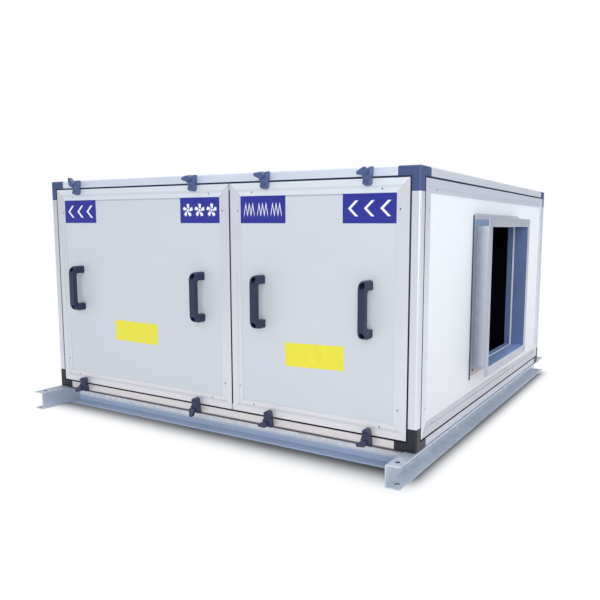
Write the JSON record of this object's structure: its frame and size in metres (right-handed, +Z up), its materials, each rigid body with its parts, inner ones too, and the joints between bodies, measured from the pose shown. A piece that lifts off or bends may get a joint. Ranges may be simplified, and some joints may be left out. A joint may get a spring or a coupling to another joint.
{
  "type": "air handling unit",
  "caption": "Low box-shaped air handling unit: framed insulated panels on channel rails, lift-off access panels held by turn latches, flanged duct collars at both ends.",
  "frame": {"origin": "on the floor, under the middle of the unit", "axes": "+Z up, -Y towards the access panels, +X along the air path towards the inlet collar"},
  "size_m": [1.46, 1.517, 0.7805],
  "materials": {
    "profile": "satin anodised extrusion",
    "corner": "moulded dark nylon",
    "border": "satin anodised edge profile",
    "sheet": "smooth pale grey coated sheet",
    "end_border": "satin anodised edge profile",
    "end_sheet": "smooth white coated sheet",
    "seal": "black foam rubber strip",
    "handle": "moulded black nylon",
    "latch": "moulded black nylon",
    "stud": "zinc plated steel",
    "galvanised": "galvanised steel sheet",
    "filter_frame": "galvanised frame",
    "filter_cloth": "pleated filter cloth"
  },
  "bodies": {
    "casing": {"length_profiles": "profile", "depth_profiles": "profile", "upright_profiles": "profile", "front_post": "profile", "back_post": "profile", "top_corners": "corner", "bottom_corners": "corner", "left_door_border": "border", "right_door_border": "border", "back_borders": "border", "top_border": "border", "bottom_border": "border", "left_door_sheet": "sheet", "right_door_sheet": "sheet", "back_sheets": "sheet", "top_sheet": "sheet", "bottom_sheet": "sheet", "inlet_border": "end_border", "outlet_border": "end_border", "inlet_sheet": "end_sheet", "outlet_sheet": "end_sheet", "front_seal": "seal", "back_seal": "seal", "roof_seals": "seal", "end_seals": "seal", "base_strips": "seal", "left_door_handles": "handle", "right_door_handles": "handle", "latch_studs": "stud", "inlet_collar": "galvanised", "inlet_flange": "galvanised", "outlet_collar": "galvanised", "outlet_flange": "galvanised", "left_rail": "galvanised", "right_rail": "galvanised", "front_channel": "galvanised", "back_channel": "galvanised", "filter_frame": "filter_frame", "filter_cloth": "filter_cloth"},
    "top_latch_1": {"top_latch_1": "latch"},
    "top_latch_2": {"top_latch_2": "latch"},
    "top_latch_3": {"top_latch_3": "latch"},
    "top_latch_4": {"top_latch_4": "latch"},
    "bottom_latch_1": {"bottom_latch_1": "latch"},
    "bottom_latch_2": {"bottom_latch_2": "latch"},
    "bottom_latch_3": {"bottom_latch_3": "latch"},
    "bottom_latch_4": {"bottom_latch_4": "latch"}
  },
  "joints": [
    {"name": "top_latch_1_turn", "type": "hinge", "parent": "casing", "child": "top_latch_1", "pos_m": [-0.5445, -0.6575, 0.761], "axis": [0, 1, 0], "range_deg": [0, 90]},
    {"name": "top_latch_2_turn", "type": "hinge", "parent": "casing", "child": "top_latch_2", "pos_m": [-0.03325, -0.6575, 0.761], "axis": [0, 1, 0], "range_deg": [0, 90]},
    {"name": "top_latch_3_turn", "type": "hinge", "parent": "casing", "child": "top_latch_3", "pos_m": [0.22875, -0.6575, 0.761], "axis": [0, 1, 0], "range_deg": [0, 90]},
    {"name": "top_latch_4_turn", "type": "hinge", "parent": "casing", "child": "top_latch_4", "pos_m": [0.5445, -0.6575, 0.761], "axis": [0, 1, 0], "range_deg": [0, 90]},
    {"name": "bottom_latch_1_turn", "type": "hinge", "parent": "casing", "child": "bottom_latch_1", "pos_m": [-0.5495, -0.6575, 0.07], "axis": [0, 1, 0], "range_deg": [0, 90]},
    {"name": "bottom_latch_2_turn", "type": "hinge", "parent": "casing", "child": "bottom_latch_2", "pos_m": [-0.03825, -0.6575, 0.07], "axis": [0, 1, 0], "range_deg": [0, 90]},
    {"name": "bottom_latch_3_turn", "type": "hinge", "parent": "casing", "child": "bottom_latch_3", "pos_m": [0.23375, -0.6575, 0.07], "axis": [0, 1, 0], "range_deg": [0, 90]},
    {"name": "bottom_latch_4_turn", "type": "hinge", "parent": "casing", "child": "bottom_latch_4", "pos_m": [0.5495, -0.6575, 0.07], "axis": [0, 1, 0], "range_deg": [0, 90]}
  ]
}
